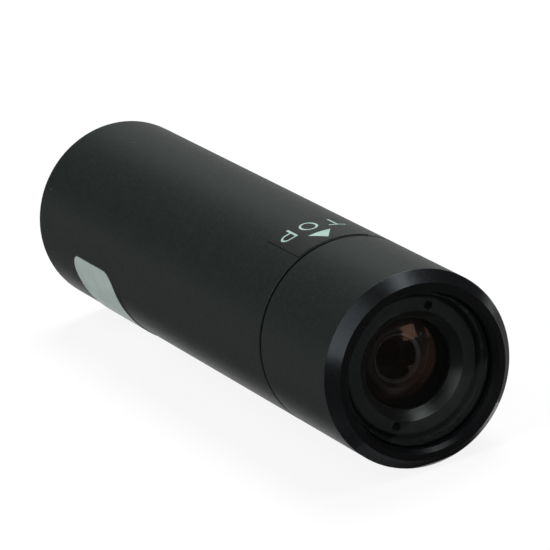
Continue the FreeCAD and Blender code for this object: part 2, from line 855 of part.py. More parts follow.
def long_board(label, level):
    """One long board in the carrier's slots."""
    return keep(
        block(
            label + "_blank",
            BOARD_LENGTH,
            f"2 * {BOARD_HALF}",
            "board_thickness",
            "0",
            BOARD_FRONT,
            f"{level} * board_height - board_thickness / 2",
        ),
        label,
        BOARD_FRONT,
    )


long_board("signal_board", 1)
long_board("power_board", -1)


def chip(label, length, width, height, station, z):
    """A moulded chip with its upright edges broken."""
    body = slab(label, length, width, height, f"{station} - {length} / 2", z)
    soften(body, "PartDesign::Chamfer", "Size", "chip_edge_break")
    return keep(body, label)


chip(
    "signal_processor",
    "processor_side",
    "processor_side",
    "processor_height",
    "processor_station",
    BOARD_TOP,
)
chip("timing_chip", "timing_side", "timing_side", "timing_height", "timing_station", BOARD_TOP)
chip(
    "voltage_regulator",
    "regulator_length",
    "regulator_width",
    "regulator_height",
    "regulator_station",
    f"-{BOARD_UNDER}",
)
can = block(
    "crystal_can",
    "crystal_width",
    "crystal_length",
    "crystal_height",
    "0",
    "crystal_station",
    BOARD_TOP,
)
keep(can, "clock_crystal", "crystal_station")
keep(
    rod(
        "inductor_can",
        "inductor_diameter / 2",
        "inductor_height",
        "0",
        "inductor_station",
        f"-{BOARD_UNDER}",
        "Z",
    ),
    "power_inductor",
    "inductor_station",
)
cans = doc.addObject("Part::Compound", "capacitor_pair")
cans.Links = [
    rod(
        name,
        "capacitor_diameter / 2",
        "capacitor_height",
        f"{side} * capacitor_pitch / 2",
        "capacitor_station",
        f"-{BOARD_UNDER}",
        "Z",
    )
    for name, side in (("left_capacitor", -1), ("right_capacitor", 1))
]
keep(cans, "filter_capacitors")


def pin_header(label, level):
    """A row of pins from a long board forward to the sensor board, in one plastic strip."""
    z = BOARD_UNDER if level > 0 else f"-{BOARD_UNDER}"
    low = f"{z} - header_body_height" if level > 0 else z
    strip = block(
        label + "_strip",
        "header_body_length",
        "header_pins * header_pitch",
        "header_body_height",
        "0",
        f"{BOARD_FRONT} + header_body_length / 2",
        low,
    )
    pins = [
        block(
            f"{label}_pin_{i}",
            "board_front_gap + header_body_length",
            "header_pin_side",
            "header_pin_side",
            f"({i} - (header_pins - 1) / 2) * header_pitch",
            BOARD_BACK,
            f"{low} + header_body_height / 2 - header_pin_side / 2",
        )
        for i in range(int(SIZES["header_pins"]))
    ]
    return keep(join(label + "_set", [strip] + pins), label)


pin_header("upper_pin_header", 1)
pin_header("lower_pin_header", -1)
link_strip = block(
    "link_strip",
    "header_body_length",
    "link_pins * header_pitch",
    "header_body_height",
    "0",
    "link_station",
    f"-{BOARD_UNDER}",
)
link_pins = [
    block(
        f"link_pin_{i}",
        "header_pin_side",
        "header_pin_side",
        f"2 * {BOARD_UNDER}",
        f"({i} - (link_pins - 1) / 2) * header_pitch",
        "link_station + header_body_length / 2 - header_pin_side / 2",
        f"-{BOARD_UNDER}",
    )
    for i in range(int(SIZES["link_pins"]))
]
keep(join("link_set", [link_strip] + link_pins), "board_link_header")
SOCKET_FRONT = f"({BOARD_END} - socket_length)"
SOCKET_FLOOR = f"({BOARD_UNDER} - socket_height)"
socket_case = block(
    "socket_case", "socket_length", "socket_width", "socket_height", "0", SOCKET_FRONT, SOCKET_FLOOR
)
socket_cavity = block(
    "socket_cavity",
    "socket_length - socket_wall",
    "socket_width - 2 * socket_wall",
    "socket_height - 2 * socket_wall",
    "0",
    f"{SOCKET_FRONT} + socket_wall",
    f"{SOCKET_FLOOR} + socket_wall",
)
keep(cut("socket_shell", socket_case, socket_cavity), "cable_socket")

# Rear cap: a cup pressed into the tube with a seal groove, spanner holes and the cable gland's hole
REAR_R = f"({BORE_R} - thread_gap)"
REAR_GROOVE_FRONT = f"({REAR_CAP_FRONT} + rear_seal_setback)"
REAR_GROOVE_REAR = f"({REAR_GROOVE_FRONT} + seal_section + seal_groove_extra)"
REAR_GROOVE_R = f"({BORE_R} - seal_bore_gap - seal_section - seal_gap)"
REAR_CUP_R = f"({REAR_R} - rear_cap_wall)"
REAR_FLOOR = f"({REAR_CAP_BACK} - rear_cap_floor)"
GLAND_HOLE_R = "(gland_neck_diameter / 2 + glass_gap)"
rear = turned("rear_cap", [
    (REAR_CUP_R, REAR_CAP_FRONT),
    (REAR_R, REAR_CAP_FRONT),
    (REAR_R, REAR_GROOVE_FRONT),
    (REAR_GROOVE_R, REAR_GROOVE_FRONT),
    (REAR_GROOVE_R, REAR_GROOVE_REAR),
    (REAR_R, REAR_GROOVE_REAR),
    (REAR_R, REAR_CAP_BACK),
    (GLAND_HOLE_R, REAR_CAP_BACK),
    (GLAND_HOLE_R, REAR_FLOOR),
    (REAR_CUP_R, REAR_FLOOR),
])
drilled(
    rear,
    "spanner_holes",
    REAR_CAP_BACK,
    "spanner_circle_diameter",
    "spanner_hole_diameter",
    "-spanner_hole_depth",
    "90",
)
keep(rear, "rear_cap")
seal(
    "rear_seal_ring",
    f"{REAR_GROOVE_R} + seal_gap + seal_section / 2",
    f"({REAR_GROOVE_FRONT} + {REAR_GROOVE_REAR}) / 2",
    "seal_section",
)
GLAND_R = "(gland_flange_diameter / 2)"
gland = turned("cable_gland", [
    ("cable_hole_diameter / 2", f"{REAR_FLOOR} - gland_flange_thickness"),
    (GLAND_R, f"{REAR_FLOOR} - gland_flange_thickness"),
    (GLAND_R, REAR_FLOOR),
    ("gland_neck_diameter / 2", REAR_FLOOR),
    ("gland_neck_diameter / 2", REAR_CAP_BACK),
    (GLAND_R, REAR_CAP_BACK),
    (GLAND_R, f"{REAR_CAP_BACK} + gland_flange_thickness"),
    ("cable_hole_diameter / 2", f"{REAR_CAP_BACK} + gland_flange_thickness"),
])
keep(gland, "cable_gland")


# Labels: thin films that follow the tube's round
FILM_R = f"({TUBE_R} + label_glue)"
FILM_TOP_R = f"({FILM_R} + label_film)"
top_label = doc.addObject("PartDesign::Body", "top_label")
top_profile = new_sketch(top_label, "top_label_profile", "YZ_Plane")
TOP_LABEL_FRONT = f"({TUBE_FRONT} + seam_edge_break)"
outline(top_profile, [
    (TOP_LABEL_FRONT, FILM_R),
    (f"{TOP_LABEL_FRONT} + top_label_length", FILM_R),
    (f"{TOP_LABEL_FRONT} + top_label_length", FILM_TOP_R),
    (TOP_LABEL_FRONT, FILM_TOP_R),
])
top_wrap = top_label.newObject("PartDesign::Revolution", "top_label_wrap")
top_wrap.Profile = top_profile
top_wrap.ReferenceAxis = (top_profile, ["H_Axis"])
top_wrap.setExpression("Angle", size("top_label_angle"))
top_wrap.Midplane = True
keep(top_label, "top_label")

SIDE_LABEL_FRONT = f"({TUBE_REAR} - side_label_rear_margin - side_label_length)"
patch = slab(
    "side_label_patch",
    "side_label_length",
    f"2 * {FILM_TOP_R} * sin(side_label_angle / 2 * 1deg)",
    f"{TUBE_R} + 1",
    SIDE_LABEL_FRONT,
    "0",
)
soften(patch, "PartDesign::Fillet", "Radius", "side_label_corner")
film = cut(
    "side_label_film",
    rod("side_label_outer", FILM_TOP_R, "side_label_length", "0", SIDE_LABEL_FRONT, "0", "Y"),
    rod("side_label_inner", FILM_R, "side_label_length", "0", SIDE_LABEL_FRONT, "0", "Y"),
)
side_label = doc.addObject("Part::Common", "side_label_sheet")
side_label.Base = film
side_label.Tool = patch
side_label.Placement.Rotation = FreeCAD.Rotation(FreeCAD.Vector(0, 1, 0), value("side_label_centre_angle"))
keep(side_label, "side_label")

doc.recompute()
faults = [o.Name for o in doc.Objects if "Invalid" in o.State or "Error" in o.State]
faults += [p.Label for p in pieces if p.Shape.isNull() or not p.Shape.isValid() or not p.Shape.Solids]
if faults:
    raise SystemExit(f"these objects failed: {faults}")
os.makedirs("parts", exist_ok=True)
for piece in pieces:
    piece.Shape.exportStep(f"parts/{piece.Label}.step")
    print(piece.Label, len(piece.Shape.Solids), round(piece.Shape.Volume, 2))
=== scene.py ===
"""Looks of the tube security camera: finishes, printed mark, cap thread, floor, lights and camera."""

import json
import math

import bmesh
import bpy
from mathutils import Matrix, Quaternion, Vector

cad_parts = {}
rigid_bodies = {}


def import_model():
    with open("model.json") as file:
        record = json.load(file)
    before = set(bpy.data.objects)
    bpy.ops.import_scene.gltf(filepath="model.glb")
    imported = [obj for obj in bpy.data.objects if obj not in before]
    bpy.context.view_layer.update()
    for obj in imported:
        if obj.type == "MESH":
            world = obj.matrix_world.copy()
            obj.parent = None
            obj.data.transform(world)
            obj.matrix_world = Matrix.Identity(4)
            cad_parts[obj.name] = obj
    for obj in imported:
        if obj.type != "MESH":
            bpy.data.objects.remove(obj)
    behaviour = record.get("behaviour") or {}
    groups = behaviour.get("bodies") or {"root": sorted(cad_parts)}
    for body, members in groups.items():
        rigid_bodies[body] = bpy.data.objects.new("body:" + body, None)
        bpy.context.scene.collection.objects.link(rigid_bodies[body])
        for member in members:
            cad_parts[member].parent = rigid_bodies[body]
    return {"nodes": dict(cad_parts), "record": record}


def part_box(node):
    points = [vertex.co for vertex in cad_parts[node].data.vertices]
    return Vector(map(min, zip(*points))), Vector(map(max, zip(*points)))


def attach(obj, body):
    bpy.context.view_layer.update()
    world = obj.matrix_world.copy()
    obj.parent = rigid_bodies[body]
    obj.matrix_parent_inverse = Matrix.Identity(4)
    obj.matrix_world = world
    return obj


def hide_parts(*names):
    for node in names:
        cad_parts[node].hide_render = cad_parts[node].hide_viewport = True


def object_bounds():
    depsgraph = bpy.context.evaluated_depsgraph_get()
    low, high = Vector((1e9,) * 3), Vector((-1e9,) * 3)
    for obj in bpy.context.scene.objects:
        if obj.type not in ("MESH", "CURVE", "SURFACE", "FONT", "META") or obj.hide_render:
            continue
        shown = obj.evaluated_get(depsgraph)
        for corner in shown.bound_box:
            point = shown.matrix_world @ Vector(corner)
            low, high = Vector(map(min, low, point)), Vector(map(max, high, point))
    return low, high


for leftover in list(bpy.data.objects):
    bpy.data.objects.remove(leftover)
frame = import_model()
cad_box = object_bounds()
nodes = frame["nodes"]

MM = 0.001
TUBE_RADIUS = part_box("housing_tube")[1].x
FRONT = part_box("front_cap")[0].y


# Shader helpers

TONE_SPAN = (0.35, 0.65)
NOISE_SPAN = (0.3, 0.7)
EDGE_SAMPLES = 4


def add(tree, kind, values=None, **settings):
    """A shader node with some of its inputs and settings filled in."""
    made = tree.nodes.new(kind)
    for key, setting in settings.items():
        setattr(made, key, setting)
    for key, number in (values or {}).items():
        made.inputs[key].default_value = number
    return made


def new_material(name):
    """A material with one Principled shader: the material, its tree, the shader and object coordinates."""
    made = bpy.data.materials.new(name)
    made.use_nodes = True
    tree = made.node_tree
    shader = tree.nodes["Principled BSDF"]
    coords = add(tree, "ShaderNodeTexCoord")
    return made, tree, shader, coords.outputs["Object"]


def arithmetic(tree, operation, *terms, **settings):
    """A sum, product or comparison of two terms, each a number or another node's output."""
    made = add(tree, "ShaderNodeMath", operation=operation, **settings)
    for socket, term in zip(made.inputs, terms):
        if isinstance(term, float):
            socket.default_value = term
        else:
            tree.links.new(term, socket)
    return made.outputs[0]


def blend(tree, factor, first, second):
    """A shader that goes from the first to the second as the factor rises."""
    mix = add(tree, "ShaderNodeMixShader")
    tree.links.new(factor, mix.inputs["Fac"])
    tree.links.new(first.outputs[0], mix.inputs[1])
    tree.links.new(second.outputs[0], mix.inputs[2])
    return mix


def show(tree, shader):
    """Use a shader as the material's surface."""
    tree.links.new(shader.outputs[0], tree.nodes["Material Output"].inputs["Surface"])


def along_axis(tree, where):
    """The place on the optical axis."""
    split = add(tree, "ShaderNodeSeparateXYZ")
    tree.links.new(where, split.inputs[0])
    return split.outputs["Y"]


def speckle(tree, where, scale, detail=3.0, harsh=0.55):
    """Noise of a given scale, in features per metre."""
    made = add(tree, "ShaderNodeTexNoise", {"Scale": scale, "Detail": detail, "Roughness": harsh})
    tree.links.new(where, made.inputs["Vector"])
    return made.outputs["Fac"]


def turning_lines(tree, where, scale):
    """Noise that changes only along the optical axis, as the fine marks of a lathe tool do."""
    made = add(tree, "ShaderNodeTexNoise", {"Scale": scale, "Detail": 4.0}, noise_dimensions="1D")
    tree.links.new(along_axis(tree, where), made.inputs["W"])
    return made.outputs["Fac"]


def two_tone(tree, factor, low, high):
    """A colour that runs between two tones as the factor rises."""
    ramp = add(tree, "ShaderNodeValToRGB")
    for stop, place, tone in zip(ramp.color_ramp.elements, TONE_SPAN, (low, high)):
        stop.position = place
        stop.color = (*tone, 1)
    tree.links.new(factor, ramp.inputs["Fac"])
    return ramp.outputs["Color"]


def spread(tree, factor, low, high):
    """A number that runs between two values as the factor rises."""
    limits = {"From Min": NOISE_SPAN[0], "From Max": NOISE_SPAN[1], "To Min": low, "To Max": high}
    made = add(tree, "ShaderNodeMapRange", limits)
    tree.links.new(factor, made.inputs["Value"])
    return made.outputs["Result"]


def varied(tree, shader, where, tones, tone_scale, rough, rough_scale, detail=3.0, harsh=0.55):
    """Base colour and roughness that each drift between two values, with noise of their own scales."""
    tone = two_tone(tree, speckle(tree, where, tone_scale, detail, harsh), *tones)
    tree.links.new(tone, shader.inputs["Base Color"])
    gloss = spread(tree, speckle(tree, where, rough_scale), *rough)
    tree.links.new(gloss, shader.inputs["Roughness"])


def bumped(tree, shader, heights, depth, edge_radius=None):
    """Relief from one or two height signals, on edges that are softened by a small radius."""
    last = None
    if edge_radius:
        edge = add(tree, "ShaderNodeBevel", {"Radius": edge_radius}, samples=EDGE_SAMPLES)
        last = edge.outputs["Normal"]
    for height, strength in heights:
        relief = add(tree, "ShaderNodeBump", {"Strength": strength, "Distance": depth})
        tree.links.new(height, relief.inputs["Height"])
        if last:
            tree.links.new(last, relief.inputs["Normal"])
        last = relief.outputs["Normal"]
    tree.links.new(last, shader.inputs["Normal"])


# Materials

RELIEF = 0.02 * MM
METAL_EDGE = 0.06 * MM
SOFT_EDGE = 0.05 * MM
BLAST_SCALE = 14000
LATHE_SCALE = 9000
LATHE_SHARE = 0.4
DUST_CELL = 2.6 * MM
DUST_SIZE = 0.035
DUST_RARITY = 0.72
DUST_TONE = (0.11, 0.12, 0.115, 1)
MOULD_DRIFT = 0.06
FILM_DRIFT = 0.05
SCRATCH_RELIEF = 0.01 * MM
RUBBER_BUMP = 0.25
MOULD_BUMP = 0.2
SCRATCH_BUMP = 0.08
TRACK_BUMP = 0.3
FILM_BUMP = 0.08
TRACK_PITCH = 6 * MM
WINDOW_IOR = 1.45
WINDOW_SHEEN = (0.93, 1.0, 0.97, 1)
COAT_ROUGHNESS = 0.08
TINT_DRIFT = 0.02
WIPE_ROUGHNESS = 0.02


def dust(tree, where):
    """A mask that is 1 on a few tiny specks."""
    cells = add(tree, "ShaderNodeTexVoronoi", {"Scale": 1 / DUST_CELL})
    tree.links.new(where, cells.inputs["Vector"])
    pick = add(tree, "ShaderNodeSeparateColor")
    tree.links.new(cells.outputs["Color"], pick.inputs[0])
    close = arithmetic(tree, "LESS_THAN", cells.outputs["Distance"], DUST_SIZE)
    rare = arithmetic(tree, "GREATER_THAN", pick.outputs[0], DUST_RARITY)
    return arithmetic(tree, "MULTIPLY", close, rare)


def sprinkle(tree, shader, where):
    """Dust over the base colour that the shader has."""
    clean = shader.inputs["Base Color"].links[0].from_socket
    speck = add(tree, "ShaderNodeMix", {"B": DUST_TONE}, data_type="RGBA")
    tree.links.new(dust(tree, where), speck.inputs["Factor"])
    tree.links.new(clean, speck.inputs["A"])
    tree.links.new(speck.outputs["Result"], shader.inputs["Base Color"])


def anodised(
    name, low, high, rough, specular, grain=0.10, uneven=0.03, dusty=False, sheen=(1, 1, 1), edge=METAL_EDGE
):
    """Black anodised aluminium: a fine blasted grain over faint lathe marks, with a slightly uneven gloss."""
    made, tree, shader, where = new_material(name)
    varied(
        tree,
        shader,
        where,
        tones=(low, high),
        tone_scale=2300,
        rough=(rough - uneven, rough + uneven),
        rough_scale=2600,
        detail=6,
        harsh=0.9,
    )
    if dusty:
        sprinkle(tree, shader, where)
    shader.inputs["Specular IOR Level"].default_value = specular
    shader.inputs["Specular Tint"].default_value = (*sheen, 1)
    blasted = speckle(tree, where, BLAST_SCALE, detail=2)
    turned = turning_lines(tree, where, LATHE_SCALE)
    bumped(tree, shader, [(blasted, grain), (turned, grain * LATHE_SHARE)], RELIEF, edge)
    return made


def rubber(name, low, high):
    """Matt black rubber with a fine moulded skin."""
    made, tree, shader, where = new_material(name)
    varied(
        tree, shader, where, tones=(low, high), tone_scale=900, rough=(0.62, 0.78), rough_scale=4000
    )
    bumped(tree, shader, [(speckle(tree, where, scale=9000), RUBBER_BUMP)], RELIEF)
    return made


def moulded(name, low, high, rough):
    """Moulded plastic or resin with a fine texture."""
    made, tree, shader, where = new_material(name)
    varied(
        tree,
        shader,
        where,
        tones=(low, high),
        tone_scale=700,
        rough=(rough - MOULD_DRIFT, rough + MOULD_DRIFT),
        rough_scale=5000,
    )
    bumped(tree, shader, [(speckle(tree, where, scale=11000), MOULD_BUMP)], RELIEF, SOFT_EDGE)
    return made


def with_mirror(tree, through, mirror, ior):
    """What shows through a glass surface, with its mirror image on the side that faces out."""
    angle = add(tree, "ShaderNodeFresnel", {"IOR": ior})
    side = add(tree, "ShaderNodeNewGeometry")
    outside = arithmetic(tree, "SUBTRACT", 1.0, side.outputs["Backfacing"])
    share = arithmetic(tree, "MULTIPLY", angle.outputs[0], outside)
    return blend(tree, share, through, mirror)


def lens_glass(name, tint, ior, reflection=None):
    """Optical glass that bends light and lets lamps shine through, with a mirror image if one is given."""
    made, tree, shader, where = new_material(name)
    tree.nodes.remove(shader)
    pale = [min(1, channel + TINT_DRIFT) for channel in tint]
    body = add(tree, "ShaderNodeBsdfRefraction", {"IOR": ior, "Roughness": 0})
    tree.links.new(two_tone(tree, speckle(tree, where, scale=900), tint, pale), body.inputs["Color"])
    if reflection:
        coat = {"Color": (*reflection, 1), "Roughness": COAT_ROUGHNESS}
        body = with_mirror(tree, body, add(tree, "ShaderNodeBsdfGlossy", coat), ior)
    clear = add(tree, "ShaderNodeBsdfTransparent", {"Color": (*tint, 1)})
    ray = add(tree, "ShaderNodeLightPath")
    show(tree, blend(tree, ray.outputs["Is Shadow Ray"], body, clear))
    return made


def flat_glass(name, tint):
    """A flat pane: clear, with a weak mirror image that is slightly uneven where the pane is wiped."""
    made, tree, shader, where = new_material(name)
    tree.nodes.remove(shader)
    clear = add(tree, "ShaderNodeBsdfTransparent", {"Color": (*tint, 1)})
    mirror = add(tree, "ShaderNodeBsdfGlossy", {"Color": WINDOW_SHEEN})
    wiped = spread(tree, speckle(tree, where, scale=500), low=0.0, high=WIPE_ROUGHNESS)
    tree.links.new(wiped, mirror.inputs["Roughness"])
    show(tree, with_mirror(tree, clear, mirror, WINDOW_IOR))
    return made


def bright_metal(name, low, high):
    """Bright plated metal with fine scratches."""
    made, tree, shader, where = new_material(name)
    varied(
        tree, shader, where, tones=(low, high), tone_scale=1200, rough=(0.22, 0.38), rough_scale=6000
    )
    shader.inputs["Metallic"].default_value = 1
    bumped(tree, shader, [(turning_lines(tree, where, scale=12000), SCRATCH_BUMP)], SCRATCH_RELIEF, SOFT_EDGE)
    return made


def circuit_board(name):
    """Green solder resist over copper tracks that run square across the board."""
    made, tree, shader, where = new_material(name)
    tracks = add(
        tree,
        "ShaderNodeTexBrick",
        {
            "Scale": 1 / TRACK_PITCH,
            "Mortar Size": 0.02,
            "Brick Width": 0.6,
            "Row Height": 0.18,
            "Color1": (0.012, 0.085, 0.035, 1),
            "Color2": (0.016, 0.105, 0.045, 1),
            "Mortar": (0.05, 0.19, 0.08, 1),
        },
    )
    tree.links.new(where, tracks.inputs["Vector"])
    tree.links.new(tracks.outputs["Color"], shader.inputs["Base Color"])
    gloss = spread(tree, speckle(tree, where, scale=3000), low=0.25, high=0.4)
    tree.links.new(gloss, shader.inputs["Roughness"])
    bumped(tree, shader, [(tracks.outputs["Fac"], TRACK_BUMP)], RELIEF)
    return made


def film(name, low, high, rough, specular=0.3):
    """Printed label film with a slight orange peel."""
    made, tree, shader, where = new_material(name)
    varied(
        tree,
        shader,
        where,
        tones=(low, high),
        tone_scale=500,
        rough=(rough - FILM_DRIFT, rough + FILM_DRIFT),
        rough_scale=2500,
        detail=5,
    )
    shader.inputs["Specular IOR Level"].default_value = specular
    bumped(tree, shader, [(speckle(tree, where, scale=2200), FILM_BUMP)], RELIEF)
    return made


COOL_SHEEN = (0.85, 0.94, 1.0)
TUBE_FINISH = anodised(
    "tube_finish",
    (0.0062, 0.0085, 0.0078),
    (0.0176, 0.0228, 0.0213),
    rough=0.46,
    specular=0.27,
    grain=0.12,
    dusty=True,
    sheen=(0.88, 1.0, 0.95),
)
CHAMFER_FINISH = anodised(
    "chamfer_finish",
    (0.0036, 0.0041, 0.0048),
    (0.0050, 0.0057, 0.0065),
    rough=0.25,
    specular=0.28,
    grain=0.04,
    sheen=COOL_SHEEN,
)
FACE_FINISH = anodised(
    "face_finish",
    (0.0036, 0.0038, 0.0040),
    (0.0050, 0.0053, 0.0054),
    rough=0.36,
    specular=0.14,
)
EDGE_FINISH = anodised(
    "edge_finish",
    (0.0028, 0.0032, 0.0036),
    (0.0040, 0.0045, 0.0050),
    rough=0.30,
    specular=0.12,
    grain=0.05,
    sheen=COOL_SHEEN,
)
BORE_FINISH = anodised(
    "bore_finish",
    (0.0030, 0.0032, 0.0034),
    (0.0045, 0.0048, 0.0050),
    rough=0.38,
    specular=0.25,
)
LENS_FINISH = anodised(
    "lens_finish",
    (0.0112, 0.0134, 0.0122),
    (0.0150, 0.0176, 0.0162),
    rough=0.36,
    specular=0.24,
    grain=0.06,
)
CONE_FINISH = anodised(
    "cone_finish",
    (0.0044, 0.0050, 0.0047),
    (0.0060, 0.0068, 0.0064),
    rough=0.34,
    specular=0.66,
    grain=0.01,
    uneven=0.006,
    edge=None,
)
BAFFLE_FINISH = anodised(
    "baffle_finish",
    (0.0070, 0.0072, 0.0074),
    (0.0090, 0.0092, 0.0094),
    rough=0.50,
    specular=0.08,
    grain=0.03,
    edge=None,
)
# The inner lip is coloured lighter grey as a painted highlight: it stands in for the light that the lip's
# bevel catches.
LIP_HIGHLIGHT_FINISH = anodised(
    "lip_highlight_finish",
    (0.030, 0.030, 0.030),
    (0.040, 0.040, 0.040),
    rough=0.40,
    specular=0.40,
    grain=0.03,
    edge=None,
)
GLASS_EDGE = anodised(
    "glass_edge",
    (0.0030, 0.0040, 0.0036),
    (0.0048, 0.0060, 0.0055),
    rough=0.45,
    specular=0.03,
    grain=0.05,
    edge=None,
)
WINDOW_FINISH = flat_glass("window_finish", (0.96, 0.985, 0.98))
COATED_GLASS = lens_glass("coated_glass", (0.94, 0.92, 0.92), ior=1.52, reflection=(1.0, 0.48, 0.32))
REAR_COAT = lens_glass("rear_coat", (0.94, 0.92, 0.92), ior=1.52)
INNER_GLASS = lens_glass("inner_glass", (0.66, 0.63, 0.68), ior=1.60)
FILTER_GLASS = lens_glass("filter_finish", (0.60, 0.80, 0.82), ior=1.50)
RUBBER = rubber("seal_finish", (0.012, 0.012, 0.012), (0.020, 0.020, 0.020))
BLACK_PLASTIC = moulded("black_plastic", (0.016, 0.016, 0.017), (0.026, 0.026, 0.027), rough=0.55)
CHIP_RESIN = moulded("chip_finish", (0.020, 0.020, 0.022), (0.032, 0.032, 0.034), rough=0.50)
SENSOR_CASE = moulded("sensor_finish", (0.16, 0.15, 0.15), (0.22, 0.21, 0.21), rough=0.60)
SENSOR_DIE = moulded("sensor_die", (0.006, 0.005, 0.008), (0.010, 0.009, 0.013), rough=0.40)
SOCKET_PLASTIC = moulded("socket_finish", (0.68, 0.64, 0.54), (0.76, 0.73, 0.63), rough=0.50)
PLATED = bright_metal("plated_finish", (0.50, 0.50, 0.51), (0.64, 0.64, 0.65))
BOARD = circuit_board("board_finish")
DARK_FILM = film(
    "dark_film", (0.0124, 0.0150, 0.0144), (0.0166, 0.0196, 0.0189), rough=0.46, specular=0.25
)
# The film's cut edge is coloured near black as painted shade: it stands in for the shadow line along the
# film's edges.
SHADED_FILM_EDGE = film("shaded_film_edge", (0.0030, 0.0030, 0.0030), (0.0045, 0.0045, 0.0045), rough=0.6, specular=0.1)
MARK_INK = film("mark_ink", (0.30, 0.43, 0.39), (0.38, 0.53, 0.49), rough=0.50)
PALE_FILM = film("pale_film", (0.34, 0.41, 0.385), (0.39, 0.47, 0.445), rough=0.46)
# The side label's cut edge is coloured dark grey as painted shade: it stands in for the shadow line along the
# label's edges.
SHADED_LABEL_EDGE = film("shaded_label_edge", (0.08, 0.09, 0.09), (0.12, 0.13, 0.13), rough=0.6, specular=0.1)

SLOT_FINISH = {
    "anodised_black": TUBE_FINISH,
    "window_glass": WINDOW_FINISH,
    "seal_rubber": RUBBER,
    "lens_black": LENS_FINISH,
    "lens_glass": INNER_GLASS,
    "filter_glass": FILTER_GLASS,
    "moulded_black": BLACK_PLASTIC,
    "sensor_case": SENSOR_CASE,
    "circuit_board": BOARD,
    "bright_steel": PLATED,
    "chip_resin": CHIP_RESIN,
    "socket_plastic": SOCKET_PLASTIC,
    "top_film": DARK_FILM,
    "side_film": PALE_FILM,
}
for entry in frame["record"]["subparts"]:
    carried = nodes[entry["node"]].data
    carried.materials.clear()
    carried.materials.append(SLOT_FINISH[entry["material_slot"]])
nodes["front_lens_element"].data.materials[0] = COATED_GLASS


# Finishes of single cuts

SLANTED = 0.3
FACING = 0.9
PANE_FACING = 0.98
CUT_EDGE = 0.7
ON_AXIS = 1e-6
CHAMFER_REACH = 2 * MM
FACE_DEPTH = 0.1 * MM
BORE_INSET = 1 * MM
DISH_RADII = (4.68 * MM, 5.56 * MM)
DISH_REACH = 3.55 * MM
LIP_RADIUS = 2.43 * MM


def slope(face):
    """How far a face looks outwards from the optical axis and how far it looks to the front."""
    outward = Vector((face.center.x, 0, face.center.z))
    if outward.length < ON_AXIS:
        return 0, -face.normal.y
    return face.normal.dot(outward.normalized()), -face.normal.y


def from_axis(face):
    """A face's distance from the optical axis."""
    return math.hypot(face.center.x, face.center.z)


def finish_cap():
    """The cap's chamfer, face, mouth edge and bore each have the finish of their own cut."""
    cap = nodes["front_cap"].data
    for finish in (CHAMFER_FINISH, FACE_FINISH, EDGE_FINISH, BORE_FINISH):
        cap.materials.append(finish)
    for face in cap.polygons:
        outward, forward = slope(face)
        near_front = face.center.y < FRONT + CHAMFER_REACH
        if near_front and outward > SLANTED and forward > SLANTED:
            face.material_index = 1
        elif forward > FACING and face.center.y < FRONT + FACE_DEPTH:
            face.material_index = 2
        elif near_front and outward < -SLANTED and forward > SLANTED:
            face.material_index = 3
        elif from_axis(face) < TUBE_RADIUS - BORE_INSET:
            face.material_index = 4


def finish_barrel():
    """The lens barrel's dish is a bright turned cone; the seat behind it is black up to an inner lip that is
    coloured lighter grey, a painted highlight for the light its bevel catches.
    """
    barrel = nodes["lens_barrel"].data
    for finish in (CONE_FINISH, BAFFLE_FINISH, LIP_HIGHLIGHT_FINISH):
        barrel.materials.append(finish)
    for face in barrel.polygons:
        outward, forward = slope(face)
        radius = from_axis(face)
        dished = outward < -SLANTED and forward > SLANTED
        if face.center.y > FRONT + DISH_REACH and radius < DISH_RADII[0]:
            face.material_index = 3 if dished and radius < LIP_RADIUS else 2
        elif dished and DISH_RADII[0] < radius < DISH_RADII[1]:
            face.material_index = 1


def second_finish(piece, finish, chosen):
    """Another finish on the faces whose look outwards and to the front passes a test."""
    piece.data.materials.append(finish)
    for face in piece.data.polygons:
        if chosen(*slope(face)):
            face.material_index = 1


def cut_edge(outward, forward):
    """Whether a label's face is its cut edge."""
    return abs(outward) < CUT_EDGE


finish_cap()
finish_barrel()
# The side label's cut edges take the painted shade line.
second_finish(nodes["side_label"], SHADED_LABEL_EDGE, cut_edge)
second_finish(nodes["front_lens_element"], REAR_COAT, lambda outward, forward: forward < 0)
second_finish(nodes["window_glass"], GLASS_EDGE, lambda outward, forward: abs(forward) < PANE_FACING)
second_finish(nodes["image_sensor"], SENSOR_DIE, lambda outward, forward: forward > FACING)


# Mesh helpers

SMOOTH_ANGLE = math.radians(40)


def new_object(name, data):
    """An object in the scene that shows some data."""
    made = bpy.data.objects.new(name, data)
    bpy.context.scene.collection.objects.link(made)
    return made


def mesh_piece(name, builder, finish, body):
    """A new piece from a bmesh builder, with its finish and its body."""
    shape = bmesh.new()
    builder(shape)
    bmesh.ops.recalc_face_normals(shape, faces=shape.faces)
    for edge in shape.edges:
        edge.smooth = len(edge.link_faces) == 2 and edge.calc_face_angle(0) < SMOOTH_ANGLE
    for face in shape.faces:
        face.smooth = True
    data = bpy.data.meshes.new(name)
    shape.to_mesh(data)
    shape.free()
    data.materials.append(finish)
    piece = new_object(name, data)
    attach(piece, body)
    return piece


def grid(shape, rows):
    """Faces between rows of points."""
    made = [[shape.verts.new(point) for point in row] for row in rows]
    for upper, lower in zip(made, made[1:]):
        for i in range(len(upper) - 1):
            shape.faces.new((upper[i], upper[i + 1], lower[i + 1], lower[i]))


# Printed mark

